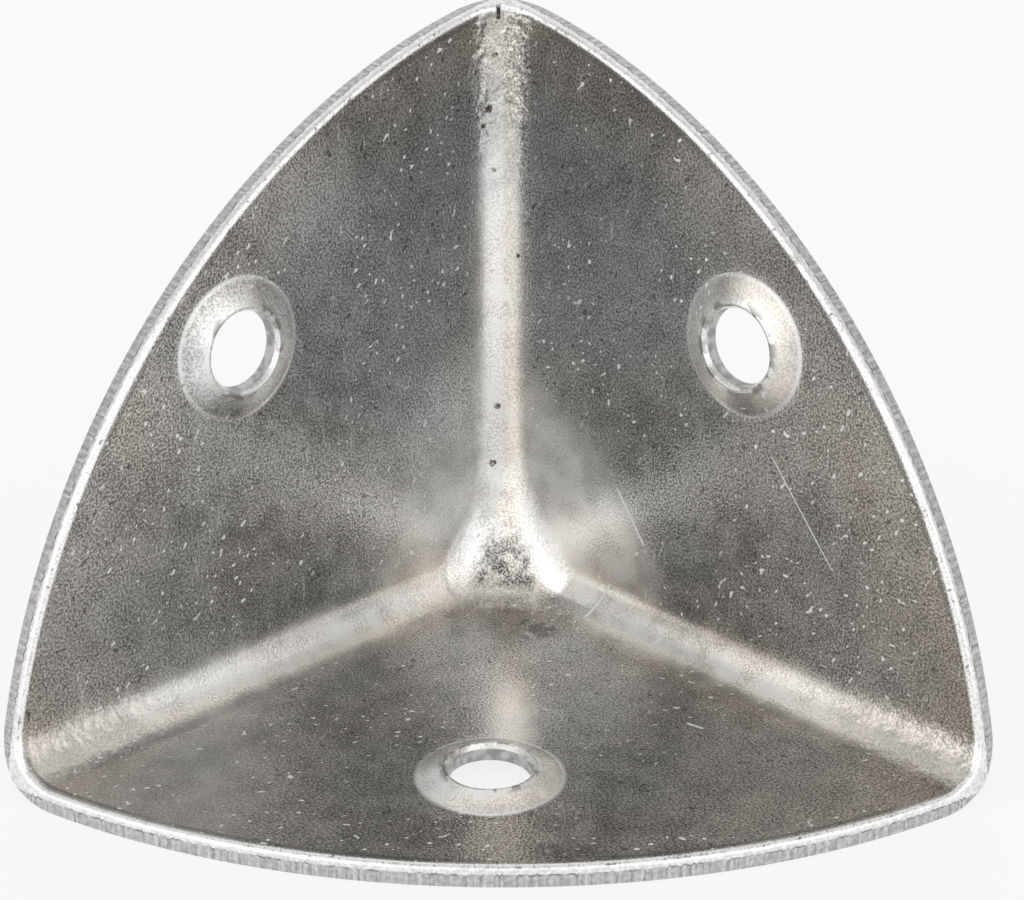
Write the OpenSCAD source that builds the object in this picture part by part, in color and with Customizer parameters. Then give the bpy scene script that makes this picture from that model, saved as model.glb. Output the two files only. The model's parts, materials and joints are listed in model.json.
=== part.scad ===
// Pressed sheet-steel box corner: three walls square to each other, drawn from one sheet,
// with rounded creases, a softened corner, curved rims and a dimpled screw hole in each wall.
// The base lies on z = 0, the left wall stands in a YZ plane and the right wall in an XZ plane.
// The hollow opens towards +X, -Y and +Z, and the origin is under the middle of the part.

/* [Sheet] */
// Thickness of the sheet
sheet_t = 0.95; // [0.8:0.05:1.2]
// Length of a crease, from the outer corner to the point where the rims would cross
leg = 30; // [26:0.5:34]
// Radius of the curved rim of each wall
rim_r = 35.2; // [34.5:0.1:42]
// Inside radius of the three creases
crease_r = 2; // [1.5:0.1:2.5]
// How far the softened corner reaches along each crease, from the outer corner
soft_reach = 6.5; // [5.5:0.1:8]
// Width of the broken inner edge of the rim
edge_break = 0.3; // [0.1:0.05:0.4]

/* [Screw dimples] */
// Diameter of each screw hole
bore_d = 3.5; // [3:0.1:3.6]
// Diameter of the hole's mouth inside the lip
mouth_d = 3.8; // [3.7:0.05:3.9]
// Depth of the hole's mouth
mouth_depth = 0.25; // [0.1:0.05:0.35]
// Diameter of the raised lip round each hole
lip_d = 4; // [3.95:0.05:4.6]
// Height of the lip above the inner face
lip_rise = 0.55; // [0.4:0.05:0.8]
// Diameter of the dimple where it leaves the inner face
dimple_d = 6.3; // [5.6:0.1:7.4]
// Diameter of the countersink in the outer face
sink_d = 6.1; // [5:0.1:7]
// Depth of the countersink
sink_depth = 0.7; // [0.5:0.05:0.75]

/* [Hole places] */
// Base hole: distance in from the crown of the rim, along the diagonal of the base
base_inset = 7; // [4.2:0.1:7.5]
// Left hole: distance in from the crown of the rim, along the diagonal of the wall
left_inset = 4.4; // [4.2:0.1:7.5]
// Right hole: distance in from the crown of the rim, along the diagonal of the wall
right_inset = 5.2; // [4.2:0.1:7.5]
// Base hole: distance off the diagonal, towards the left wall
base_shift = 0.35; // [0:0.05:1]
// Right hole: distance off the diagonal, towards the standing crease
right_shift = 0.75; // [0:0.05:1]

/* [Hidden] */
$fn = 96;

// The creases are rounded about fold lines this far in from the outer faces
fold_in = sheet_t + crease_r;
// The centre of each rim arc lies on the wall's diagonal, this far in along both creases
arc_in = (leg - sqrt(2 * pow(rim_r, 2) - pow(leg, 2))) / 2;
// The middle of each rim, this far out along both creases
crown_out = arc_in + rim_r * sqrt(0.5);
// The tip of a crease: the middle of its outer round, and how far out the rims leave it
tip_in = fold_in * (1 - sqrt(0.5));
reach = arc_in + sqrt(pow(rim_r, 2) - pow(tip_in - arc_in, 2));
// Where each hole sits on the base, the left wall and the right wall: along the diagonal and off it
hole_insets = [base_inset, left_inset, right_inset];
hole_shifts = [base_shift, 0, -right_shift];
// How far the flat of the softened corner lies below the rounds that border it
soft_dip = 0.02;
// Blanks and cutters run past the part by this much
spare = 2;
block = leg + spare;

// Turns what is drawn on the base onto wall i: 0 the base, 1 the left wall, 2 the right wall
module on_wall(i) rotate(a = 120 * i, v = [1, 1, 1]) children();

module on_each_wall() for (i = [0:2]) on_wall(i) children();

// The drawn form has its faces at a distance r outside the fold lines. It is a corner of a block
// whose three edges and softened corner are all rounded by r: outside r is fold_in, inside crease_r.
module drawn_form(r) {
    on_each_wall() {
        wall_block(r);
        crease_round(r);
        soft_round(r);
        soft_end(r);
    }
    soft_flat(r);
}

// The block behind one wall, without the softened corner
module wall_block(r)
    translate([0, 0, fold_in - r])
        linear_extrude(block - fold_in + r)
            polygon([[soft_reach, fold_in], [block, fold_in], [block, block],
                     [fold_in, block], [fold_in, soft_reach]]);

// Round of the crease that runs along X
module crease_round(r)
    translate([soft_reach, fold_in, fold_in]) rotate([0, 90, 0])
        cylinder(r = r, h = block - soft_reach);

// Round between the softened corner and the base, run from both ends past its middle
module soft_round(r)
    for (end = [0, 1]) mirror([end, -end, 0])
        translate([soft_reach, fold_in, fold_in]) rotate([0, 0, 135]) rotate([0, 90, 0])
            cylinder(r = r, h = (soft_reach - fold_in) * 0.75);

// Ball where the crease along X runs into the softened corner
module soft_end(r)
    translate([soft_reach, fold_in, fold_in]) rotate([45, 0, 0]) rotate([0, 90, 0]) sphere(r = r);

// Flat of the softened corner, a triangle square to the long diagonal, a hair below its rounds
module soft_flat(r) {
    cut = soft_reach - fold_in;
    translate((fold_in + cut / 3) * [1, 1, 1])
        rotate([0, atan(sqrt(2)), 45]) translate([0, 0, soft_dip - r])
            linear_extrude(r + cut / sqrt(3)) rotate(180)
                circle(r = cut * sqrt(2 / 3), $fn = 3);
}

// Solid inside the rim arc of the base, through the whole height
module rim_cutter()
    translate([arc_in, arc_in, -spare]) cylinder(r = rim_r, h = block + 2 * spare);

// Ring that breaks the inner edge of the base's rim, out to the middle of both creases
module edge_cutter()
    intersection() {
        translate([arc_in, arc_in, 0]) rotate_extrude()
            polygon([[rim_r - edge_break, fold_in], [rim_r - edge_break, sheet_t],
                     [rim_r + spare, sheet_t - edge_break - spare], [rim_r + spare, fold_in]]);
        under_diagonal();
        mirror([1, -1, 0]) under_diagonal();
    }

// Everything nearer to the base than to the left wall
module under_diagonal()
    translate([0, block, 0]) rotate([90, 0, 0])
        linear_extrude(block) polygon([[0, -spare], [0, 0], [block, block], [block, -spare]]);

// Puts what is drawn about the origin on the hole of wall i
module at_hole(i) {
    along = crown_out - hole_insets[i] * sqrt(0.5);
    off = hole_shifts[i] * sqrt(0.5);
    on_wall(i) translate([along - off, along + off, 0]) children();
}

// Cone from the diameter d1 at the height z1 to the diameter d2 at z2, run on by more below z1
module cone(d1, z1, d2, z2, more = 0) {
    slope = (d2 - d1) / (z2 - z1);
    translate([0, 0, z1 - more]) cylinder(d1 = d1 - slope * more, d2 = d2, h = z2 - z1 + more);
}

// Sheet pushed up round a hole
module dimple() cone(dimple_d, sheet_t, lip_d, sheet_t + lip_rise, more = sheet_t / 2);

// Countersink, bore and mouth of a screw hole, from the outer face to the lip
module screw_hole() {
    lip_z = sheet_t + lip_rise;
    cone(sink_d, 0, bore_d, sink_depth, more = spare / 2);
    translate([0, 0, sink_depth / 2]) cylinder(d = bore_d, h = lip_z);
    rotate([180, 0, 0]) cone(mouth_d, -lip_z, bore_d, -lip_z + mouth_depth, more = spare / 2);
}

module box_corner()
    color("silver") translate([-reach / 2, reach / 2, 0]) mirror([0, 1, 0])
        difference() {
            union() {
                intersection() {
                    difference() {
                        drawn_form(fold_in);
                        drawn_form(crease_r);
                    }
                    rim_cutter();
                    on_wall(1) rim_cutter();
                    on_wall(2) rim_cutter();
                }
                for (i = [0:2]) at_hole(i) dimple();
            }
            on_each_wall() edge_cutter();
            for (i = [0:2]) at_hole(i) screw_hole();
        }

box_corner();
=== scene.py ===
"""Pressed sheet-steel box corner: its finish, its fine shape, the floor, the light and the camera.

Lengths in this file are in millimetres and become metres where a mesh or an object is made.
The part is worked out in corner coordinates: the outer corner is at zero and the creases run
along +X, +Y and +Z, so the base lies on z = 0, the left wall on x = 0 and the right wall on y = 0.
"""
import json

import bmesh
import bpy
import numpy as np
from mathutils import Matrix, Vector


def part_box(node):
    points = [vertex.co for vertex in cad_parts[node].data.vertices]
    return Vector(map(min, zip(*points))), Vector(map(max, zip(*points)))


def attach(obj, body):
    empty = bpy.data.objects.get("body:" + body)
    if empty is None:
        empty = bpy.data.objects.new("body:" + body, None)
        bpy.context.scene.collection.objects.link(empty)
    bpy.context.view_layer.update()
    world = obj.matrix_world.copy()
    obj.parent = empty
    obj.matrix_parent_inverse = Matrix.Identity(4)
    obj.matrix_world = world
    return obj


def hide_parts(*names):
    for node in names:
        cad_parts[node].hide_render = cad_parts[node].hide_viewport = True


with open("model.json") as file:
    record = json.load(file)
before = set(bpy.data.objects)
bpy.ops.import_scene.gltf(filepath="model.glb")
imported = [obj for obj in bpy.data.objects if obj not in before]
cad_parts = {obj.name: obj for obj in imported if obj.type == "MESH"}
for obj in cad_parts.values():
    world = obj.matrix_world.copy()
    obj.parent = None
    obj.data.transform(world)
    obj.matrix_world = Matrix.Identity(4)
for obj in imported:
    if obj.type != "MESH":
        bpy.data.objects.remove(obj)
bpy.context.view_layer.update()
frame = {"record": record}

MM = 0.001               # a millimetre in metres

# ---------------------------------------------------------------- sizes of the sheet
SHEET = 0.95             # thickness of the sheet
LEG = 30.0               # crease length, to the point where the rims would cross
RIM_R = 35.2             # radius of each rim
RIM_GAP = 0.04           # how far the sheared edge stays inside the solid's rim
CREASE_R = 2.0           # inside radius of the creases
EDGE_ROUND = 0.25        # rolled inner edge of the rim
BURR_ROUND = 0.05        # sheared outer edge of the rim

FOLD = SHEET + CREASE_R  # distance of a fold's axis from both of its walls
ARC_IN = (LEG - np.sqrt(2 * RIM_R ** 2 - LEG ** 2)) / 2   # centre of a rim's arc, along both creases
EDGE_R = RIM_R - RIM_GAP
HALF = -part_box("box_corner")[0].x / MM    # the scene's origin lies this far from the corner in X and Y

# ---------------------------------------------------------------- the standing crease flares at its foot
FLARE_X, LEAN_X = 4.4, 0.75      # extra width on the right wall at the base, and its loss per height
FLARE_Y, LEAN_Y = 3.2, 0.80      # the same on the left wall
FLARE_EASE = 0.5         # extra width at which it starts to run out gently
FLARE_BELL, FLARE_BELL_RISE = 2.3, 0.8  # further width at the base, and the height at which a third is left
CIRCLE_POWER = 2         # power of the superellipse that is a circle
FLARE_BREAK = 0.35       # how far the power of the level cut drops from a circle's
FLARE_TOP = 8.5          # height at which it starts to drop
FLARE_DROP = 4.0         # height over which it drops
FLARE_ZONE = 14.0        # nothing changes further than this from the outer corner
FLARE_REACH = 6.0        # the furthest that a point moves
FLARE_HALVINGS = 46      # how often the span that holds its place is halved
FOOT_R = 0.5             # fillet between the flare and the base
FOOT_START, FOOT_END = 4.6, 8.5  # it widens into the creases between these distances
ON_SURFACE = 1e-7        # points closer to the surface than this stay
NO_ZERO = 1e-9           # keeps a quotient from becoming zero by zero

# ---------------------------------------------------------------- sizes of the screw dimples
BORE = 1.75              # radius of a screw hole
MOUTH = 1.90             # radius of its mouth inside the lip
MOUTH_DEPTH = 0.25
LIP = 2.0                # radius of the raised lip
LIP_RISE = 0.55
DIMPLE = 3.15            # radius where the dimple leaves the face
SINK = 3.05              # radius of the countersink in the outer face
SINK_DEPTH = 0.7
RING_IN = 3.6            # where the rings round a hole end, inside
RING_OUT = 3.4           # and outside
HOLE_BENDS = [0.5, 0.06, 0.04, 0.1, 0.08, 0.15]  # radii of the bends in its section, from the inner face
BEND_POINTS = 4          # points on each of them
LIP_ZONE = 0.22          # how far from the lip it is uneven
LIP_OUT, LIP_DOWN = 0.02, 0.03   # how far it strays
LIP_WAVES = (3, 5, 8, 13, 21)    # waves round the lip, the longer the higher
LIP_WAVES_TOP = 1.4      # what brings their sum to about one
LIP_TURN = (7, 3)        # turns the waves by the hole's place, so that no two lips are alike

# ---------------------------------------------------------------- how finely the piece is divided
CREASE_STEPS = 96        # along each crease
RIM_STEPS = 126          # along each rim
ROLL_POINTS = 8          # across the rolled edge
BURR_POINTS = 4          # across the sheared edge
FILLET_STEPS = 13        # across half a crease, inside
BACK_FILLET_STEPS = 7    # and outside
FINE_STEPS, FINE_STEP = 11, 0.18         # rings close to the border, and how far apart, inside
BACK_FINE_STEPS, BACK_FINE_STEP = 6, 0.4  # and outside
FIELD_STEPS = 20         # from there to the hole, inside
BACK_FIELD_STEPS = 6     # and outside
WELD = 0.0002            # points closer than this are joined

BASE = 2                 # number of the base, after the left wall and the right wall
UP = 2                   # number of the axis that stands

# ---------------------------------------------------------------- painted highlights, reflections and shade, raised and lowered in the tone
# A gain is how much the tone rises. Where it has three numbers, the others are the distance up to which
# it is full and the length over which it fades. A start or an end is a distance and such a length.
# painted highlight along the creases, fading at their tips
CREASE_GAIN = (1.08, 0.5, 1.9)           # across the creases
TIP_LOSS, TIP_START = 0.6, (19.0, 8.0)   # share of it that is lost at their tips
# painted reflections of the creases round the corner and as a streak down the base, and painted light on the
# base's left
CORNER_GAINS = [(0.44, 5.0, 9.0), (1.05, 10.2, 3.0), (0.20, 5.0, 7.0)]  # on the left, the right, the base
STREAK_GAIN, STREAK_OFF = (0.75, 0.0, 2.4), 0.9  # across a streak down the base, and its place
STREAK_START, STREAK_END = (16.5, 6.0), (25.0, 4.0)      # in x + y
SIDE_GAIN, SIDE_START = 0.28, (11.0, 6.0)        # on the base's left, in y - x
# painted highlight on the dimples
DIMPLE_GAIN = np.array([0.32, 0.62, 1.1])        # on the dimples of the left, the right and the base
DIMPLE_END = (2.85, 0.45)
FRONT_START = (-2.8, 4.0)                # painted highlight on the base's dimple, on its side towards the rim
LEFT_GAIN, LEFT_WIDTH = 0.3, 3.0         # and more to its left than to its right
# painted highlight on the flare, less on its two arms
FLARE_GAIN, FLARE_ONSET = 1.06, 0.7      # on the flare, and how far it stands off where that is full
ARM_START, ARM_TOP = (2.2, 1.2), (1.6, 1.2)      # the flare's arms, in the difference of x and y and in z
ARM_RIGHT, ARM_LEFT = 1.5, 0.55          # how much of the loss each arm has
ARM_LOSS = 0.8                           # share of the flare's gain that is lost there
ARM_CREASE_LOSS, ARM_CREASE_END = 0.75, (6.5, 4.0)       # and of the creases' gain, near the corner
OUTER_CREASE, OUTER_DIMPLE = 0.3, 0.45   # share of their gains that they have on the outer skin
# darker high up, and painted shade on each wall, most on the right; below zero, as on the left, it lightens
HIGH_DARKENING, HIGH_START = 0.16, (12.0, 11.0)       # loss of tone high up
WALL_SHADE = np.array([-0.035, 0.10, 0.0])        # and on the left, the right and the base
DIMPLE_CLEAR = 3.3       # where the flat face round a dimple begins
OFF_WALL = 0.02          # points closer to a wall than this don't count as flare

# ---------------------------------------------------------------- dirt, rough skin, polish and warm tint
GRIME_WIDTH, GRIME_OFF = (2.3, 1.3, 5.9), 0.35   # half the dirt's width as it rises, and its place
GRIME_SIDE = (-0.5, 1.3)                 # how it sets in from its sides
GRIME_FRONT = (6.6, 1.2)                 # its end away from the corner, in x + y
GRIME_FOOT = (1.35, 0.4)                 # its foot, in z
GRIME_FADE, GRIME_RISE = 0.75, (2.2, 3.0)        # share that it loses as it rises
PEEL_END, PEEL_START = (0.6, 2.0), (20.0, 6.0)   # rough skin, across a crease and along it
PEEL_LYING = 0.35                        # share of it on the two creases of the base
POLISH_START, OUTER_POLISH = (1.0, 0.4), 0.6     # from which tone, and its least share on the outer skin
WALL_WARMTH = np.array([0.0, 0.5, 0.85])  # warm tint of the left, the right and the base
RIM_WARMTH, CREASE_WARMTH = (0.8, 0.0, 6.0), (0.6, 0.5, 2.5)     # and more of it, as a gain
EDGE_SLACK, BORE_SLACK, SINK_SLACK = 0.02, 0.12, 0.05    # what still counts as cut metal


def hole_places():
    """Hole centres on the base, the left wall and the right wall, as two distances along its creases."""
    at = {m["name"]: np.array(m["pos_m"]) / MM for m in frame["record"]["mounts"]}
    corner = {n: (p[0] + HALF, HALF - p[1], p[2]) for n, p in at.items()}
    base, left, right = (corner["screw_hole_" + n] for n in ("base", "left", "right"))
    return np.array([(base[0], base[1]), (left[1], left[2]), (right[2], right[0])])


HOLES = hole_places()


def eased(value, width):
    """Nothing below -width, the value itself above width, and a parabola that joins them between."""
    return np.where(value > width, value, np.maximum(value + width, 0) ** 2 / (4 * width))


def smooth_share(value):
    """Share that goes smoothly from 0 to 1 while the value goes from 0 to 1."""
    v = np.clip(value, 0, 1)
    return v * v * (3 - 2 * v)


def rises(value, start, span):
    """Share that goes smoothly from 0 to 1 while the value goes from start over the span."""
    return smooth_share((value - start) / span)


def fades(value, start, span):
    """Share that goes smoothly from 1 to 0 while the value goes from start over the span."""
    return 1 - rises(value, start, span)


def gains(distance, gain, full, span):
    """The gain up to the distance full, fading smoothly to nothing over the span."""
    return gain * fades(distance, full, span)


def room(p, depth):
    """How far points lie in the hollow from the surface at this depth in the sheet, below zero in the metal.

    The standing crease is a superellipse quadrant in each level cut. It widens towards the base, to
    a different width on each wall, and its power drops there, which leaves a soft break at the walls.
    A fillet joins it to the base: tight at its foot, and as wide as the creases further out."""
    x, y, z = np.moveaxis(p - depth, -1, 0)
    r = FOLD - depth
    bell = FLARE_BELL * np.exp(-np.maximum(z, 0) / FLARE_BELL_RISE)
    wide_x, wide_y = (r + bell + eased(width - lean * z, FLARE_EASE)
                      for width, lean in ((FLARE_X, LEAN_X), (FLARE_Y, LEAN_Y)))
    power = CIRCLE_POWER - FLARE_BREAK * smooth_share((FLARE_TOP - z) / FLARE_DROP)
    u, v = np.maximum(1 - x / wide_x, 0), np.maximum(1 - y / wide_y, 0)
    radius = (wide_x * u * u + wide_y * v * v + NO_ZERO * wide_x) / (u * u + v * v + NO_ZERO)
    off_crease = (1 - (u ** power + v ** power) ** (1 / power)) * radius
    foot = r - (CREASE_R - FOOT_R) * smooth_share((FOOT_END - np.maximum(x, y)) / (FOOT_END - FOOT_START))
    return foot - np.hypot(np.maximum(foot - off_crease, 0), np.maximum(foot - z, 0))


def flared(p, depth):
    """Points of the plainly rounded corner, moved square to it until they reach the flared surface."""
    near = (np.linalg.norm(p, axis=1) < FLARE_ZONE) & (room(p, depth) < -ON_SURFACE)
    point = p[near]
    inward = np.maximum(point, FOLD) - point
    inward /= np.linalg.norm(inward, axis=1)[:, None]
    low, high = np.zeros(len(point)), np.full(len(point), FLARE_REACH)
    for _ in range(FLARE_HALVINGS):
        mid = (low + high) / 2
        metal = room(point + inward * mid[:, None], depth) < 0
        low, high = np.where(metal, mid, low), np.where(metal, high, mid)
    out = p.copy()
    out[near] = point + inward * high[:, None]
    return out


def skin(x, y, r):
    """Height over the base of the plainly rounded surface that lies r outside the fold lines."""
    beyond = np.maximum(FOLD - x, 0) ** 2 + np.maximum(FOLD - y, 0) ** 2
    return FOLD - np.sqrt(np.maximum(r * r - beyond, 0))


def crease_line(x, r):
    """Height of the middle of the crease along X, where y = z, on the surface r outside the fold lines."""
    return FOLD - np.sqrt((r * r - np.maximum(FOLD - x, 0) ** 2) / 2)


def border(r, inset):
    """Border of one wall on the skin r, going round: crease X out, rim, crease Y back. Columns x, y, z.

    Crease points crowd towards the corner as (t + t^2) / 2, and rim points are even in angle."""
    tip = FOLD - r * np.sqrt(0.5)
    start = FOLD - r / np.sqrt(3)
    end = ARC_IN + np.sqrt((EDGE_R - inset) ** 2 - (tip - ARC_IN) ** 2)
    t = np.arange(CREASE_STEPS) / CREASE_STEPS
    x = start + (end - start) * (t + t * t) / 2
    y = crease_line(x, r)
    y[0] = start
    first = np.arctan2(tip - ARC_IN, end - ARC_IN)
    turn = np.linspace(first, np.pi / 2 - first, RIM_STEPS + 1)
    rim = ARC_IN + (EDGE_R - inset) * np.stack([np.cos(turn), np.sin(turn)], -1)
    rim[0], rim[-1] = (end, tip), (tip, end)
    rim_z = skin(rim[:, 0], rim[:, 1], r)
    rim_z[[0, -1]] = tip
    out = np.stack([x, y, y], -1)
    back = np.stack([y, x, y], -1)[:0:-1]
    return np.concatenate([out, np.column_stack([rim, rim_z]), back])


def bent(points, rounds):
    """The open line through points with each inner corner rounded by an arc of the given radius.

    A point of an arc is its middle plus the ends' arms, mixed by the sines of the angles to them."""
    line = [points[0]]
    for a, b, c, r in zip(points, points[1:], points[2:], rounds):
        a, b, c = (np.array(q, float) for q in (a, b, c))
        u, v = (a - b) / np.linalg.norm(a - b), (c - b) / np.linalg.norm(c - b)
        half = np.arccos(np.clip(u @ v, -1, 1)) / 2
        middle = b + (u + v) / np.linalg.norm(u + v) * r / np.sin(half)
        begin, end = b + u * r / np.tan(half) - middle, b + v * r / np.tan(half) - middle
        sweep = np.pi - 2 * half
        for k in np.linspace(0, 1, BEND_POINTS):
            line.append(middle + (begin * np.sin((1 - k) * sweep) + end * np.sin(k * sweep)) / np.sin(sweep))
    line.append(points[-1])
    return np.array(line, float)


def hole_profile():
    """Section of a hole from the inner face to the outer one, as distances from its axis and heights."""
    lip_z = SHEET + LIP_RISE
    corners = [(RING_IN, SHEET), (DIMPLE, SHEET), (LIP, lip_z), (MOUTH, lip_z), (BORE, lip_z - MOUTH_DEPTH),
               (BORE, SINK_DEPTH), (SINK, 0), (RING_OUT, 0)]
    return bent(corners, HOLE_BENDS)


def wall_rings(axis):
    """One wall as closed rings, from its inner border in to the hole, down the bore and out again.

    Every ring has one point for each border point, on the straight line from it to the hole's axis.
    The first rings follow the border at set distances, the next ones turn evenly into circles."""
    inner, outer = border(CREASE_R, EDGE_ROUND), border(FOLD, BURR_ROUND)
    inside = field_rings(inner, axis, CREASE_R, RING_IN, FILLET_STEPS, FINE_STEPS, FINE_STEP, FIELD_STEPS)
    outside = field_rings(outer, axis, FOLD, RING_OUT, BACK_FILLET_STEPS, BACK_FINE_STEPS, BACK_FINE_STEP,
                          BACK_FIELD_STEPS)
    profile = hole_profile()[1:-1]
    spoke = [np.unwrap(np.arctan2(*(b[:, 1::-1] - axis[::-1]).T)) for b in (inner, outer)]
    share = np.linspace(0, 1, len(profile))[:, None]
    angle = spoke[0] * (1 - share) + spoke[1] * share
    wobble = lip_wobble(angle, profile, axis)
    radius, height = profile[:, :1] + wobble[0], profile[:, 1:] + wobble[1]
    hole = np.stack([axis[0] + radius * np.cos(angle), axis[1] + radius * np.sin(angle),
                     np.broadcast_to(height, angle.shape)], -1)
    return inside, hole, outside[::-1]


def lip_wobble(angle, profile, axis):
    """Uneven lip: sums of a few waves round the hole, strongest at the lip's top and nothing off the lip."""
    near = np.exp(-((profile[:, :1] - LIP) / LIP_ZONE) ** 2) * (profile[:, 1:] > SHEET)
    phase = axis @ LIP_TURN
    waves = sum(np.sin(n * angle + phase * n) / n for n in LIP_WAVES) / LIP_WAVES_TOP
    return LIP_OUT * near * waves, -LIP_DOWN * near * (1 + waves)


def field_rings(edge, axis, r, ring, fillet_steps, fine_steps, fine_step, steps):
    """Rings of one face between its border and the circle round the hole, as height over the wall."""
    tip = FOLD - r * np.sqrt(0.5)
    turn = np.linspace(np.pi / 4, 0, fillet_steps + 1)[1:]
    fine = fine_step * np.arange(1, fine_steps + 1)
    inset = np.concatenate([FOLD - r * np.sin(turn) - tip, FOLD - tip + fine])
    to_axis = axis - edge[:, :2]
    length = np.hypot(*to_axis.T)
    count = len(edge)
    rim_from, rim_to = CREASE_STEPS, CREASE_STEPS + RIM_STEPS
    index = np.arange(count)
    on_x, on_y = index < rim_from, index > rim_to
    away = np.where(on_x, axis[1] - tip, np.where(on_y, axis[0] - tip, 0))
    share = np.zeros(count)
    share[on_x | on_y] = 1 / away[on_x | on_y]
    tips = np.array([share[rim_from - 1] * length[rim_from] / (length[rim_from] - ring),
                     share[rim_to + 1] * length[rim_to] / (length[rim_to] - ring)])
    rim = slice(rim_from, rim_to + 1)
    along = np.interp(np.arange(RIM_STEPS + 1), [0, RIM_STEPS], tips)
    share[rim] = along * (length[rim] - ring) / length[rim]
    near = inset[:, None] * share
    rest = np.linspace(0, 1, steps + 2)[1:, None]
    last = 1 - ring / length
    part = np.concatenate([near, near[-1] + (last - near[-1]) * rest])
    flat = edge[:, :2] + to_axis * part[..., None]
    height = skin(flat[..., 0], flat[..., 1], r)
    return np.concatenate([edge[None], np.dstack([flat, height])])


def rim_band():
    """The cut edge of one wall: straight across the sheet from skin to skin, with a rolled inner edge.

    A row at the share w of the thickness lies between the two skins' border points, which are
    first moved along the sheet by the row's own inset."""
    roll = np.linspace(0, np.pi / 2, ROLL_POINTS)
    burr = np.linspace(0, np.pi / 2, BURR_POINTS)
    inset = np.concatenate([EDGE_ROUND * (1 - np.sin(roll)), BURR_ROUND * (1 - np.cos(burr))])
    depth = np.concatenate([EDGE_ROUND * (1 - np.cos(roll)), SHEET - BURR_ROUND * (1 - np.sin(burr))])
    rim = slice(CREASE_STEPS, CREASE_STEPS + RIM_STEPS + 1)
    rows = [border(CREASE_R, d)[rim] * (1 - w) + border(FOLD, d)[rim] * w
            for d, w in zip(inset, depth / SHEET)]
    return np.array(rows)


def grid_faces(first, rows, columns, closed):
    """Four-sided faces of a grid of points numbered row by row from first."""
    index = first + np.arange(rows * columns).reshape(rows, columns)
    if closed:
        index = np.concatenate([index, index[:, :1]], 1)
    a, b, c, d = index[:-1, :-1], index[:-1, 1:], index[1:, 1:], index[1:, :-1]
    return np.stack([a, b, c, d], -1).reshape(-1, 4)


def corner_mesh():
    """The whole piece: three walls and three rim bands, turned to their places and joined."""
    points, faces, count = [], [], 0
    for i, place in enumerate(HOLES):
        inside, hole, outside = (np.roll(part, i, axis=2) for part in wall_rings(place))
        inside, outside = (flared(part.reshape(-1, 3), depth).reshape(part.shape)
                           for part, depth in ((inside, SHEET), (outside, 0)))
        band = np.roll(rim_band(), i, axis=2)
        for part, closed in ((np.concatenate([inside, hole, outside]), True), (band[:, ::-1], False)):
            rows, columns = part.shape[:2]
            faces.append(grid_faces(count, rows, columns, closed))
            points.append(part.reshape(-1, 3))
            count += rows * columns
    points, faces = np.concatenate(points), np.concatenate(faces)
    world = np.stack([points[:, 0] - HALF, HALF - points[:, 1], points[:, 2]], -1) * MM
    mesh = bpy.data.meshes.new("corner_sheet")
    mesh.from_pydata(world, [], faces)
    whole = bmesh.new()
    whole.from_mesh(mesh)
    bmesh.ops.remove_doubles(whole, verts=whole.verts, dist=WELD * MM)
    bmesh.ops.recalc_face_normals(whole, faces=whole.faces)
    whole.to_mesh(mesh)
    whole.free()
    mesh.shade_smooth()
    piece = bpy.data.objects.new("corner_sheet", mesh)
    bpy.context.scene.collection.objects.link(piece)
    return piece


def store(mesh, name, values):
    """Keeps one number for each point of the mesh, for its materials to read."""
    mesh.attributes.new(name, "FLOAT", "POINT").data.foreach_set("value", values.astype(np.float32))


def on_inside(corner):
    """1 for points on the hollow's side of the sheet's middle, 0 for the others."""
    return (room(corner, SHEET / 2) > 0).astype(float)


def flare_share(corner):
    """Share that goes from 0 to 1 as the inner surface leaves that of a plainly rounded corner."""
    beyond = np.linalg.norm(np.maximum(FOLD - corner, 0), axis=1)
    off_walls = np.min(corner, axis=1) > SHEET + OFF_WALL
    return smooth_share((CREASE_R - beyond) / FLARE_ONSET) * off_walls * on_inside(corner)


def painted_reflection_gain(corner, wall, near):
    """Painted light as a gain: reflections of the creases round the corner, by the distance near from it, and
    on the streak, and light on the left of the base.
    """
    x, y = corner[:, 0], corner[:, 1]
    streak = gains(np.abs(x - y - STREAK_OFF), *STREAK_GAIN)
    streak *= rises(x + y, *STREAK_START) * fades(x + y, *STREAK_END)
    side = SIDE_GAIN * rises(y - x, *SIDE_START)
    return np.choose(wall, [gains(near, *gain) for gain in CORNER_GAINS]) + (wall == BASE) * (streak + side)


def dimple_gain(corner, wall, hole_in):
    """Painted highlight on the dimples: the same all round on the walls, and on the base's front and left on
    the base.
    """
    hole_x, hole_y = HOLES[0]
    front = corner[:, 0] + corner[:, 1] - hole_x - hole_y
    left = corner[:, 1] - corner[:, 0] - hole_y + hole_x
    shown = rises(front, *FRONT_START) * (1 + LEFT_GAIN * np.clip(left / LEFT_WIDTH, -1, 1))
    return DIMPLE_GAIN[wall] * fades(hole_in, *DIMPLE_END) * np.where(wall == BASE, shown, 1)


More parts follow.
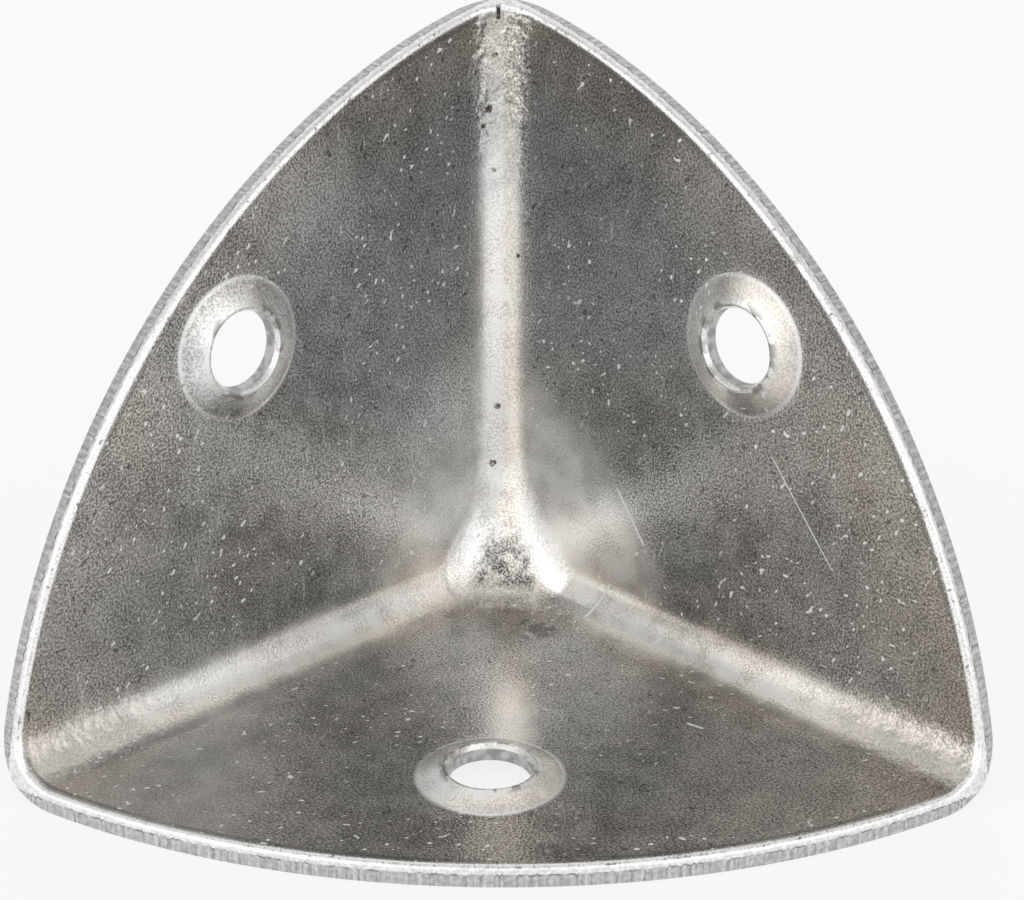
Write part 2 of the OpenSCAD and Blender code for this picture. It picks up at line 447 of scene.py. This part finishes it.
def painted_light_tone(corner, wall, crease_in, reach, hole_in):
    """What painted light multiplies the colour by: 1 plus the greatest gain, less what is darker up high and
    the painted shade of each wall.

    The gains are painted highlights and reflections: those of the creases, the flare, the reflections
    round the corner and the dimples. The creases and the flare lose some of theirs on the flare's two arms,
    and the outer skin has less of them all."""
    x, y, z = corner.T
    near = np.linalg.norm(corner, axis=1)
    inside = on_inside(corner)
    arms = rises(np.abs(x - y), *ARM_START) * fades(z, *ARM_TOP)
    arms = np.minimum(arms * np.where(x > y, ARM_RIGHT, ARM_LEFT), 1)
    crease = gains(crease_in, *CREASE_GAIN) * (1 - TIP_LOSS * rises(reach, *TIP_START))
    crease *= 1 - ARM_CREASE_LOSS * arms * fades(near, *ARM_CREASE_END)
    crease *= OUTER_CREASE + (1 - OUTER_CREASE) * inside
    flare = FLARE_GAIN * flare_share(corner) * (1 - ARM_LOSS * arms)
    reflection = painted_reflection_gain(corner, wall, near) * inside
    dimple = dimple_gain(corner, wall, hole_in) * (OUTER_DIMPLE + (1 - OUTER_DIMPLE) * inside)
    # darker high up, and the painted shade of each wall
    dull = HIGH_DARKENING * rises(z, *HIGH_START) + WALL_SHADE[wall]
    return 1 + np.maximum.reduce([crease, flare, reflection, dimple]) - dull * (hole_in > DIMPLE_CLEAR)


def corner_grime(corner):
    """Share of dirt on the flare: a wedge that stands on the base, point up, and fades as it rises."""
    x, y, z = corner.T
    half_width = gains(z, *GRIME_WIDTH)
    wedge = rises(half_width - np.abs(x - y - GRIME_OFF), *GRIME_SIDE)
    wedge *= fades(x + y, *GRIME_FRONT) * rises(z, *GRIME_FOOT)
    return wedge * (1 - GRIME_FADE * rises(z, *GRIME_RISE)) * on_inside(corner)


def map_surface(mesh):
    """Stores what the materials follow, in millimetres, and gives the cut faces the second material.

    edge_in is the distance in from the rim, edge_run runs along it, hole_in is the distance from the
    hole's axis, and depth goes from 0 outside to the thickness inside. inside is 1 on the inner skin,
    tone is what the colour is multiplied by, and peel, polish, warmth and grime are the shares of rough
    skin on the crease ends, of smoothed metal, of a warm tint and of dirt."""
    at = np.zeros(len(mesh.vertices) * 3)
    mesh.vertices.foreach_get("co", at)
    at = at.reshape(-1, 3) / MM
    corner = np.stack([at[:, 0] + HALF, HALF - at[:, 1], at[:, 2]], -1)
    wall = np.argmin(corner, axis=1)
    order = np.array([(0, 1, 2), (1, 2, 0), (2, 0, 1)])[wall]
    depth, first, second = np.take_along_axis(corner, order, 1).T
    edge_in = EDGE_R - np.hypot(first - ARC_IN, second - ARC_IN)
    hole_in = np.hypot(*(np.stack([first, second], -1) - HOLES[(wall + 1) % 3]).T)
    crease_in, reach = np.minimum(first, second) - SHEET, np.maximum(first, second)
    inside = on_inside(corner)
    tone = painted_light_tone(corner, wall, crease_in, reach, hole_in)
    standing = np.argmax(corner, axis=1) == UP
    values = {
        "edge_in": edge_in,
        "edge_run": np.arctan2(second - ARC_IN, first - ARC_IN) * EDGE_R,
        # tone: the painted highlights and reflections, and the painted shade on the walls, darker high up
        "tone": tone,
        "depth": depth,
        "inside": inside,
        "hole_in": hole_in,
        "peel": fades(crease_in, *PEEL_END) * rises(reach, *PEEL_START) * np.where(standing, 1, PEEL_LYING),
        "polish": np.maximum(rises(tone, *POLISH_START), OUTER_POLISH * (1 - inside)),
        "warmth": WALL_WARMTH[wall] + gains(edge_in, *RIM_WARMTH) + gains(crease_in, *CREASE_WARMTH),
        "grime": corner_grime(corner),
    }
    for name, value in values.items():
        store(mesh, name, value)
    in_bore = (hole_in < BORE + BORE_SLACK) & (depth > SINK_DEPTH - SINK_SLACK)
    cut = (edge_in < BURR_ROUND + EDGE_SLACK) | in_bore
    faces = np.zeros(len(mesh.polygons) * 4, int)
    mesh.polygons.foreach_get("vertices", faces)
    mesh.polygons.foreach_set("material_index", cut[faces.reshape(-1, 4)].all(axis=1).astype(int))


piece = corner_mesh()
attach(piece, "root")
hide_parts("box_corner")
map_surface(piece.data)

# ---------------------------------------------------------------- camera and the directions round the part
CAMERA_AZ = 45.2         # degrees from the crease along X, seen from above
CAMERA_EL = 22.6         # degrees above the floor
CAMERA_ROLL = 0.35       # degrees
CAMERA_DIST, CAMERA_RIGHT, CAMERA_UP = 116.0, 0.60, 6.45  # from the outer corner: back, right and up
FRAME_W = 1024           # pixels
FOCAL_PX = 2273          # focal length, in the same pixels
SENSOR = 36.0            # width of the camera's sensor
CLIP_NEAR, CLIP_FAR = 1.0, 10000.0       # the camera sees from here to there


def direction(azimuth, elevation):
    """Direction in the scene at an azimuth from the crease along X and an elevation, both in degrees."""
    turn, rise = np.radians(azimuth), np.radians(elevation)
    return (np.cos(turn) * np.cos(rise), -np.sin(turn) * np.cos(rise), np.sin(rise))


def add_camera():
    """A camera that stands CAMERA_DIST back along its direction, rolled, and shifted square to that line."""
    back = np.array(direction(CAMERA_AZ, CAMERA_EL))
    right = np.cross(-back, [0, 0, 1])
    right /= np.linalg.norm(right)
    up = np.cross(right, -back)
    roll = np.radians(CAMERA_ROLL)
    level = np.cos(roll) * right + np.sin(roll) * up
    over = -np.sin(roll) * right + np.cos(roll) * up
    place = back * CAMERA_DIST + level * CAMERA_RIGHT + over * CAMERA_UP + (-HALF, HALF, 0)
    data = bpy.data.cameras.new("camera")
    data.sensor_width = SENSOR
    data.lens = FOCAL_PX / FRAME_W * SENSOR
    data.clip_start, data.clip_end = CLIP_NEAR * MM, CLIP_FAR * MM
    cam = bpy.data.objects.new("camera", data)
    bpy.context.scene.collection.objects.link(cam)
    axes = Matrix([Vector(axis) for axis in (level, over, back)]).transposed()
    cam.matrix_world = Matrix.Translation(place * MM) @ axes.to_4x4()
    bpy.context.scene.camera = cam


add_camera()


# ---------------------------------------------------------------- node helpers
def feed(tree, node, inputs):
    """Links a node's inputs from sockets, or sets them to values."""
    for key, value in inputs.items():
        if isinstance(value, bpy.types.NodeSocket):
            tree.links.new(value, node.inputs[key])
        else:
            node.inputs[key].default_value = value


def put(tree, kind, inputs, **settings):
    """A shader node with its settings and inputs."""
    node = tree.nodes.new("ShaderNode" + kind)
    for name, value in settings.items():
        setattr(node, name, value)
    feed(tree, node, inputs)
    return node


def calc(tree, operation, *values):
    """Result of one Math node."""
    return put(tree, "Math", dict(enumerate(values)), operation=operation).outputs[0]


def vector(tree, operation, *values):
    """One Vector Math node."""
    return put(tree, "VectorMath", dict(enumerate(values)), operation=operation)


def product(tree, first, *others):
    """All the numbers multiplied, in their order."""
    for other in others:
        first = calc(tree, "MULTIPLY", first, other)
    return first


def most(tree, first, *others):
    """The greatest of the numbers."""
    for other in others:
        first = calc(tree, "MAXIMUM", first, other)
    return first


def ramp(tree, value, low, high, to_low=0.0, to_high=1.0):
    """The value taken smoothly from the span low to high onto the span to_low to to_high."""
    inputs = {"Value": value, "From Min": low, "From Max": high, "To Min": to_low, "To Max": to_high}
    return put(tree, "MapRange", inputs, interpolation_type="SMOOTHSTEP").outputs["Result"]


def band(tree, value, middle, *span):
    """Ramp of how far the value lies from the middle, to either side."""
    return ramp(tree, calc(tree, "ABSOLUTE", calc(tree, "SUBTRACT", value, middle)), *span)


def mapped(tree, position, turn, scale, kind):
    """The position turned and scaled by a Mapping node: POINT does it to space, TEXTURE to the pattern."""
    inputs = {"Vector": position, "Rotation": turn, "Scale": scale}
    return put(tree, "Mapping", inputs, vector_type=kind).outputs[0]


def noise(tree, position, rate, detail, rough=0.5):
    """Noise from 0 to 1 at so many waves per unit of the position. Detail and rough add finer ones."""
    inputs = {"Vector": position, "Scale": rate, "Detail": detail, "Roughness": rough}
    return put(tree, "TexNoise", inputs).outputs["Fac"]


def blend(tree, share, first, second):
    """Colour that goes from the first to the second with the share. A Mix node keeps colours at 6 and 7."""
    return put(tree, "Mix", {0: share, 6: first, 7: second}, data_type="RGBA").outputs[2]


def between(tree, share, first, second):
    """Number that goes from the first to the second with the share. A Mix node keeps numbers at 2 and 3."""
    return put(tree, "Mix", {0: share, 2: first, 3: second}, data_type="FLOAT").outputs[0]


def bumped(tree, height):
    """Normal of a surface that stands this much higher, in millimetres."""
    return put(tree, "Bump", {"Height": height, "Distance": MM, "Strength": 1.0}).outputs[0]


def stored(tree, name):
    """A number stored on the mesh."""
    return put(tree, "Attribute", {}, attribute_name=name).outputs["Fac"]


def corner_position(tree):
    """Object coordinates as corner coordinates in millimetres."""
    at = put(tree, "TexCoord", {}).outputs["Object"]
    inputs = {"Vector": at, "Location": (HALF, HALF, 0), "Scale": (1 / MM, -1 / MM, 1 / MM)}
    return put(tree, "Mapping", inputs).outputs[0]


def group(name, inputs, outputs):
    """A new shader node group. Its inputs and outputs are given as names with their kinds."""
    tree = bpy.data.node_groups.new(name, "ShaderNodeTree")
    for side, sockets in (("INPUT", inputs), ("OUTPUT", outputs)):
        for title, kind in sockets.items():
            tree.interface.new_socket(title, in_out=side, socket_type="NodeSocket" + kind)
    return tree, tree.nodes.new("NodeGroupInput").outputs, tree.nodes.new("NodeGroupOutput").inputs


def use(tree, built, inputs):
    """A group placed in a material with its own values."""
    node = tree.nodes.new("ShaderNodeGroup")
    node.node_tree = built
    feed(tree, node, inputs)
    return node.outputs


def new_material(name):
    """A material with its node tree and its Principled shader."""
    material = bpy.data.materials.new(name)
    material.use_nodes = True
    return material, material.node_tree, material.node_tree.nodes["Principled BSDF"]


# ---------------------------------------------------------------- effects that the materials place
NOISE_MIDDLE = 0.5       # what a noise swings round
GRAIN_WAVES = 0.5        # waves per grain
SPECK_WAVES = 0.4        # waves per speck
SPECK_EDGE = (0.0, 0.045)            # how far the noise goes past the rarity where a speck is full
MARK_SIDE = (0.3, 0.7, 1.0, 0.0)     # in shares of a mark's width
MARK_END = (0.42, 0.5, 1.0, 0.0)     # and of its length
SPOT_FULL, SPOT_END = 0.6, 1.1       # in shares of a spot's radius


def build_grain():
    """Fine mottle of a worn surface: Value lies round 0.5, and Contrast sets how far it swings."""
    tree, given, result = group("fine_grain", {"Position": "Vector", "Size": "Float", "Contrast": "Float"},
                                {"Value": "Float"})
    rate = calc(tree, "DIVIDE", GRAIN_WAVES, given["Size"])
    fine = noise(tree, given["Position"], rate, detail=1.0)
    swing = calc(tree, "MULTIPLY", calc(tree, "SUBTRACT", fine, NOISE_MIDDLE), given["Contrast"])
    tree.links.new(calc(tree, "ADD", swing, NOISE_MIDDLE), result["Value"])
    return tree


def build_specks():
    """Scattered specks of about Size: Bright where a noise is highest and Dark where it is lowest."""
    tree, given, result = group("specks", {"Position": "Vector", "Size": "Float", "Rarity": "Float"},
                                {"Bright": "Float", "Dark": "Float"})
    rate = calc(tree, "DIVIDE", SPECK_WAVES, given["Size"])
    field = noise(tree, given["Position"], rate, detail=0.0)
    for title, sign in (("Bright", 1.0), ("Dark", -1.0)):
        above = calc(tree, "MULTIPLY", calc(tree, "SUBTRACT", field, NOISE_MIDDLE), sign)
        past = calc(tree, "SUBTRACT", above, given["Rarity"])
        tree.links.new(ramp(tree, past, *SPECK_EDGE), result[title])
    return tree


def build_mark():
    """One straight mark of a given place, length and width, thin across the direction Across."""
    tree, given, result = group("mark", {"Position": "Vector", "Centre": "Vector", "Across": "Vector",
                                         "Length": "Float", "Width": "Float"}, {"Mask": "Float"})
    off = vector(tree, "SUBTRACT", given["Position"], given["Centre"]).outputs[0]
    side = calc(tree, "ABSOLUTE", vector(tree, "DOT_PRODUCT", off, given["Across"]).outputs["Value"])
    away = vector(tree, "LENGTH", off).outputs["Value"]
    thin = ramp(tree, calc(tree, "DIVIDE", side, given["Width"]), *MARK_SIDE)
    ends = ramp(tree, calc(tree, "DIVIDE", away, given["Length"]), *MARK_END)
    tree.links.new(calc(tree, "MULTIPLY", thin, ends), result["Mask"])
    return tree


GRAIN, SPECKS, MARK = build_grain(), build_specks(), build_mark()


def grain_value(tree, position, size, contrast):
    """Value of the grain at a size and contrast."""
    return use(tree, GRAIN, {"Position": position, "Size": size, "Contrast": contrast})["Value"]


def mark(tree, position, centre, across, length, width):
    """Mask of one straight mark."""
    inputs = {"Position": position, "Centre": centre, "Across": across, "Length": length, "Width": width}
    return use(tree, MARK, inputs)["Mask"]


def spot(tree, position, centre, radius):
    """Round mask about a centre, full out to a share of its radius and gone a little past it."""
    away = vector(tree, "DISTANCE", position, centre).outputs["Value"]
    return ramp(tree, away, radius * SPOT_FULL, radius * SPOT_END, 1.0, 0.0)


# ---------------------------------------------------------------- the plated sheet
COOL_STEEL, WARM_STEEL = (0.457, 0.466, 0.475, 1), (0.500, 0.476, 0.440, 1)
DIRT = (0.11, 0.105, 0.10, 1)
# painted highlight on the lips and round the dimples
LIP_HIGHLIGHT = (0.9, 0.9, 0.89, 1)
DULL_LIP = (0.42, 0.41, 0.40, 1)
# painted highlight on the rolled edge of the rim
ROLLED_EDGE_HIGHLIGHT = (0.97, 0.97, 0.965, 1)
# darker line beside the rolled edge, in places
RIM_DARK_LINE = (0.25, 0.235, 0.22, 1)
SCRATCHED = (0.80, 0.80, 0.78, 1)
STAINED = (0.06, 0.045, 0.035, 1)

# Patterns: size and contrast of the grain, waves per millimetre of the noises
FINE_GRAIN, COARSE_GRAIN = (0.053, 3.0), (0.7, 1.6)
CLOUD_RATE, BLOT_RATE, PEEL_RATE, HAIR_RATE = 0.2, 1.7, 2.0, 1.0
HAIR_TURN, HAIR_SCALE = (0.5, 0.35, 0.0), (5.0, 5.0, 0.6)
SPECK_SIZE, SPECK_RARITY = 0.115, 0.25
SLANT = (0.0, -0.615, -0.785)            # turns +X onto the line that the specks are drawn out along
SPECK_STRETCH = (1.7, 0.8, 0.8)          # their length and their two widths, in shares of the size

# Spans: from which value to which a pattern counts, and what the two become where that isn't 0 and 1
MOTTLE = (0.0, 1.0, 0.50, 1.44)          # fine grain to tone
CLOUDING = (0.0, 1.0, -0.14, 0.14)       # coarse grain to tone
SMOOTHING = 0.7                          # how much of the mottle polished metal loses
DIRT_BLOTS, DIRT_GRAIN = (0.36, 0.56, 0.5, 1.0), (0.3, 0.65, 1.0, 0.6)
LIP_SPAN, LIP_BLOTS, LIP_HIGHLIGHT_SHARE = (0.0, 0.34, 1.0, 0.0), (0.52, 0.6), 0.75
RING_HIGHLIGHT_SPAN = (0.03, 0.16, 0.75, 0.0)      # painted highlight ring where the dimple leaves the face
ROLL_SPAN = (EDGE_ROUND * 0.9, EDGE_ROUND * 1.3, 1.0, 0.0)
ROLL_COARSE, ROLL_GRAIN = (0.0, 0.35, 0.35, 1.0), (0.0, 0.45, 0.6, 1.0)
DARK_LINE_IN, DARK_LINE_SPAN, DARK_LINE_CLOUDS = 0.46, (0.0, 0.16, 0.7, 0.0), (0.45, 0.55)
HAIR_SPAN, HAIR_LIGHT = (0.76, 0.84), 0.3
SPECK_CLOUDS, DARK_SPECKS = (0.35, 0.6, 0.25, 1.0), 0.6
SLIT_GRAIN, STAIN_GRAIN, FOOT_PATCH_BLOTS = (-0.2, 0.4), (0.3, 0.9, 1.0, 0.45), (0.5, 0.57, 0.0, 0.55)
SCRATCH_DULL = 0.85                      # how much less metallic a scratch is
ROUGHNESS, DIRT_ROUGH, POLISH_ROUGH = (0.2, 0.8, 0.18, 0.27), 0.25, 0.05
PEEL_HEIGHT, GRAIN_HEIGHT = 0.20, 0.0035

# Marks on the sheet: centre, direction across, length and width
MARKS = [((1.3, 7.6, 1.55), (0.1, 1.0, 0.0), 2.1, 0.15), ((8.05, 1.3, 1.9), (0.93, 0.0, -0.36), 2.3, 0.15),
         ((19.5, 0.95, 10.1), (0.764, 0.0, 0.645), 6.0, 0.06), ((9.6, 0.95, 6.7), (0.8, 0.0, 0.6), 3.2, 0.14),
         ((18.1, 5.9, 0.95), (0.2, 0.98, 0.0), 0.9, 0.16)]
TIP_SLIT = ((1.38, 1.64, 29.5), (0.707, -0.707, 0), 1.1, 0.2)
# Dark stains, and a faint dark patch at the foot of the flare: centre and radius
STAINS = [((1.35, 1.88, 7.25), 0.2), ((1.45, 1.68, 10.2), 0.2), ((1.16, 2.07, 24.9), 0.26),
          ((1.06, 2.29, 24.1), 0.12), ((1.32, 1.79, 27.4), 0.16), ((1.3, 1.81, 22.0), 0.12),
          ((2.2, 1.1, 17.85), 0.12), ((0.95, 29.5, 3.5), 0.4)]
FOOT_DARK_PATCH = ((6.6, 4.2, 0.95), 1.3)


def steel_colour(tree, grain, coarse, cloud, polish):
    """Cool and warm steel in clouds, times the tone with its fine and coarse mottle."""
    warmth = calc(tree, "ADD", stored(tree, "warmth"), calc(tree, "SUBTRACT", cloud, NOISE_MIDDLE))
    base = blend(tree, warmth, COOL_STEEL, WARM_STEEL)
    mottle = between(tree, polish, ramp(tree, grain, *MOTTLE), 1.0)
    mottle = calc(tree, "ADD", mottle, ramp(tree, coarse, *CLOUDING))
    # the tone brings in the painted highlights, reflections and shade
    return vector(tree, "MULTIPLY", base, product(tree, mottle, stored(tree, "tone"))).outputs[0]


def ringed(tree, base, blots, inside):
    """The base with a painted highlight ring round each dimple and on its lip, which is duller in places."""
    hole_in = stored(tree, "hole_in")
    lip = band(tree, hole_in, LIP, *LIP_SPAN)
    ring = band(tree, hole_in, DIMPLE, *RING_HIGHLIGHT_SPAN)
    # painted highlight on the lips and the dimple rings
    bright = product(tree, most(tree, product(tree, lip, LIP_HIGHLIGHT_SHARE), ring), inside)
    base = blend(tree, bright, base, LIP_HIGHLIGHT)
    return blend(tree, product(tree, lip, ramp(tree, blots, *LIP_BLOTS)), base, DULL_LIP)


def rimmed(tree, base, grain, coarse, cloud, inside):
    """The base with a painted highlight on the rolled edge round the rim and a dark line beside it, in
    places.
    """
    edge_in = stored(tree, "edge_in")
    # painted highlight on the rolled edge
    rolled = product(tree, ramp(tree, edge_in, *ROLL_SPAN), inside, ramp(tree, coarse, *ROLL_COARSE),
                     ramp(tree, grain, *ROLL_GRAIN))
    base = blend(tree, rolled, base, ROLLED_EDGE_HIGHLIGHT)
    dark_line = product(tree, band(tree, edge_in, DARK_LINE_IN, *DARK_LINE_SPAN), ramp(tree, cloud, *DARK_LINE_CLOUDS))
    return blend(tree, dark_line, base, RIM_DARK_LINE)


def bright_marks(tree, at, specks, cloud, inside):
    """Mask of the bright specks, the straight marks and the hair-fine scratches."""
    hair = noise(tree, mapped(tree, at, HAIR_TURN, HAIR_SCALE, "POINT"), HAIR_RATE, detail=0.0)
    marks = product(tree, most(tree, *[mark(tree, at, *one) for one in MARKS]), inside)
    return most(tree, product(tree, specks, ramp(tree, cloud, *SPECK_CLOUDS)), marks,
                product(tree, ramp(tree, hair, *HAIR_SPAN), HAIR_LIGHT))


def dark_marks(tree, at, specks, grain, blots, polish):
    """Mask of the dark specks, which polish takes away, the stains, the slit at the tip and the dark patch at
    the flare's foot.
    """
    specks = product(tree, specks, calc(tree, "SUBTRACT", DARK_SPECKS, polish))
    stains = most(tree, *[spot(tree, at, *one) for one in STAINS])
    stains = product(tree, stains, ramp(tree, grain, *STAIN_GRAIN))
    slit = product(tree, mark(tree, at, *TIP_SLIT), ramp(tree, grain, *SLIT_GRAIN))
    foot_patch = product(tree, spot(tree, at, *FOOT_DARK_PATCH), ramp(tree, blots, *FOOT_PATCH_BLOTS))
    return most(tree, specks, stains, slit, foot_patch)


def plated_sheet():
    """Dull plated steel: mottled and scratched, with painted highlights on its creases, flare, dimples, lips
    and rim, painted reflections and shade in its tone, and grimy in the corner.
    """
    material, tree, shader = new_material("worn_plated_steel")
    at = corner_position(tree)
    inside = stored(tree, "inside")
    polish = product(tree, stored(tree, "polish"), SMOOTHING)
    grain, coarse = (grain_value(tree, at, *look) for look in (FINE_GRAIN, COARSE_GRAIN))
    cloud = noise(tree, at, CLOUD_RATE, detail=0.0)
    blots = noise(tree, at, BLOT_RATE, detail=1.0)
    slanted = mapped(tree, at, SLANT, SPECK_STRETCH, "TEXTURE")
    specks = use(tree, SPECKS, {"Position": slanted, "Size": SPECK_SIZE, "Rarity": SPECK_RARITY})
    grime = product(tree, stored(tree, "grime"), ramp(tree, blots, *DIRT_BLOTS),
                    ramp(tree, grain, *DIRT_GRAIN))
    bright = bright_marks(tree, at, specks["Bright"], cloud, inside)
    dark = dark_marks(tree, at, specks["Dark"], grain, blots, polish)

    base = steel_colour(tree, grain, coarse, cloud, polish)
    base = blend(tree, grime, base, DIRT)
    base = ringed(tree, base, blots, inside)
    base = rimmed(tree, base, grain, coarse, cloud, inside)
    base = blend(tree, bright, base, SCRATCHED)
    base = blend(tree, dark, base, STAINED)

    peel = product(tree, stored(tree, "peel"), PEEL_HEIGHT)
    peel = product(tree, noise(tree, at, PEEL_RATE, detail=1.0), peel)
    height = calc(tree, "ADD", peel, product(tree, grain, GRAIN_HEIGHT))
    rough = calc(tree, "ADD", ramp(tree, coarse, *ROUGHNESS), product(tree, grime, DIRT_ROUGH))
    rough = calc(tree, "ADD", rough, product(tree, polish, POLISH_ROUGH))
    metallic = calc(tree, "SUBTRACT", 1.0, product(tree, bright, SCRATCH_DULL))
    feed(tree, shader, {"Base Color": base, "Roughness": rough, "Metallic": metallic,
                        "Normal": bumped(tree, height)})
    return material


# ---------------------------------------------------------------- the sheared edge and the bores
EDGE_GRAIN = (0.09, 2.0)                 # size and contrast
LINE_RATE, LINE_ROUGH, EDGE_BLOT_RATE = 5.0, 0.7, 2.2
TORN = 0.6                               # share of the thickness that is torn, from the outer face
TEAR_SPAN = (0.3, 0.7, -0.06, 0.06)      # how the lines move its end
BURNISH_SPAN = (0.0, 0.06)
LINE_TONE, GRAIN_TONE = (0.3, 0.7, 0.39, 0.72), (0.0, 1.0, -0.10, 0.10)
BURNISHED_TONE = (0.2, 0.8, 0.78, 0.97)
SEAM_SPAN, SEAM_BLOTS, SEAM_TONE = (0.01, 0.06, 0.75, 0.0), (0.45, 0.6), 0.15
BORE_START = (1.0, 1.2)                  # only the bores lie this far in from the rim
BORE_TONE, BORE_ROUGH = (0.35, 0.65, 0.74, 0.48), 0.75
EDGE_ROUGHNESS = (0.0, 1.0, 0.50, 0.30)  # torn and burnished
LINE_HEIGHT, BLOT_HEIGHT = 0.02, 0.02


def sheared_edge():
    """Cut steel: fine lines straight across the rim, burnished towards the inside, and dull rough bores."""
    material, tree, shader = new_material("sheared_steel")
    at = corner_position(tree)
    depth = stored(tree, "depth")
    grain = grain_value(tree, at, *EDGE_GRAIN)
    run = put(tree, "CombineXYZ", {"X": stored(tree, "edge_run")}).outputs[0]
    lines = noise(tree, run, LINE_RATE, detail=2.0, rough=LINE_ROUGH)
    blots = noise(tree, at, EDGE_BLOT_RATE, detail=1.0)
    in_bore = ramp(tree, stored(tree, "edge_in"), *BORE_START)
    torn = calc(tree, "ADD", SHEET * TORN, ramp(tree, lines, *TEAR_SPAN))
    burnished = ramp(tree, calc(tree, "SUBTRACT", depth, torn), *BURNISH_SPAN)
    seam = product(tree, band(tree, depth, torn, *SEAM_SPAN), ramp(tree, blots, *SEAM_BLOTS))
    tone = calc(tree, "ADD", ramp(tree, lines, *LINE_TONE), ramp(tree, grain, *GRAIN_TONE))
    tone = between(tree, burnished, tone, ramp(tree, grain, *BURNISHED_TONE))
    tone = between(tree, seam, tone, SEAM_TONE)
    tone = between(tree, in_bore, tone, ramp(tree, blots, *BORE_TONE))
    base = put(tree, "CombineColor", {"Red": tone, "Green": tone, "Blue": tone}).outputs[0]
    rough = between(tree, in_bore, ramp(tree, burnished, *EDGE_ROUGHNESS), BORE_ROUGH)
    height = calc(tree, "ADD", product(tree, lines, LINE_HEIGHT), product(tree, blots, BLOT_HEIGHT))
    feed(tree, shader, {"Base Color": base, "Metallic": 1.0, "Roughness": rough,
                        "Normal": bumped(tree, height)})
    return material


piece.data.materials.append(plated_sheet())
piece.data.materials.append(sheared_edge())

# ---------------------------------------------------------------- studio
# Soft lights: degrees to the right of the camera and above the floor, degrees from there where they end
# and where they are full, and strength
GLOWS = [(-42, 14, 50, 14, 0.78), (40, 16, 46, 12, 0.66), (5, 42, 34, 0, 0.10), (0, -8, 28, 4, -0.35),
         (180, 20, 80, 20, 0.25)]
ROOM_LEVEL = 0.66
ROOM_COLOUR = (1.0, 0.995, 0.985, 1)
FLOOR_SIZE = 2000.0
PAPER_DARK, PAPER_LIGHT = (0.84, 0.84, 0.84, 1), (0.88, 0.88, 0.88, 1)
TOOTH_RATE = 0.9         # waves of the paper's tooth per millimetre
PAPER_ROUGH = 0.8
PAPER_WHITE = 0.8        # share of plain white in what is seen of it


def build_studio():
    """World of plain soft light: an even level with a few wide glows."""
    world = bpy.data.worlds.new("studio")
    bpy.context.scene.world = world
    world.use_nodes = True
    tree = world.node_tree
    way = put(tree, "TexCoord", {}).outputs["Generated"]
    level = ROOM_LEVEL
    for azimuth, elevation, end, full, strength in GLOWS:
        towards = direction(CAMERA_AZ - azimuth, elevation)
        facing = vector(tree, "DOT_PRODUCT", way, towards).outputs["Value"]
        from_cos, to_cos = (float(np.cos(np.radians(angle))) for angle in (end, full))
        level = calc(tree, "ADD", level, ramp(tree, facing, from_cos, to_cos, 0.0, strength))
    feed(tree, tree.nodes["Background"], {"Color": ROOM_COLOUR, "Strength": level})


def floor_paper():
    """Plain pale paper that reads as white and keeps a faint shadow."""
    material, tree, shader = new_material("pale_paper")
    at = put(tree, "TexCoord", {}).outputs["Object"]
    tooth = noise(tree, at, TOOTH_RATE / MM, detail=2.0)
    feed(tree, shader, {"Base Color": blend(tree, tooth, PAPER_DARK, PAPER_LIGHT),
                        "Roughness": PAPER_ROUGH, "Specular IOR Level": 0.0})
    path = put(tree, "LightPath", {}).outputs
    seen = most(tree, *[path[ray] for ray in ("Is Glossy Ray", "Is Transmission Ray", "Is Camera Ray")])
    white = put(tree, "Emission", {"Color": (1, 1, 1, 1), "Strength": 1.0}).outputs[0]
    mix = put(tree, "MixShader", {0: product(tree, seen, PAPER_WHITE), 1: shader.outputs[0], 2: white})
    tree.links.new(mix.outputs[0], tree.nodes["Material Output"].inputs["Surface"])
    return material


build_studio()
bpy.ops.mesh.primitive_plane_add(size=FLOOR_SIZE * MM, location=(0, 0, 0))
floor = bpy.context.object
floor.name = "floor"
floor.data.materials.append(floor_paper())
bpy.context.scene.view_settings.view_transform = "Standard"
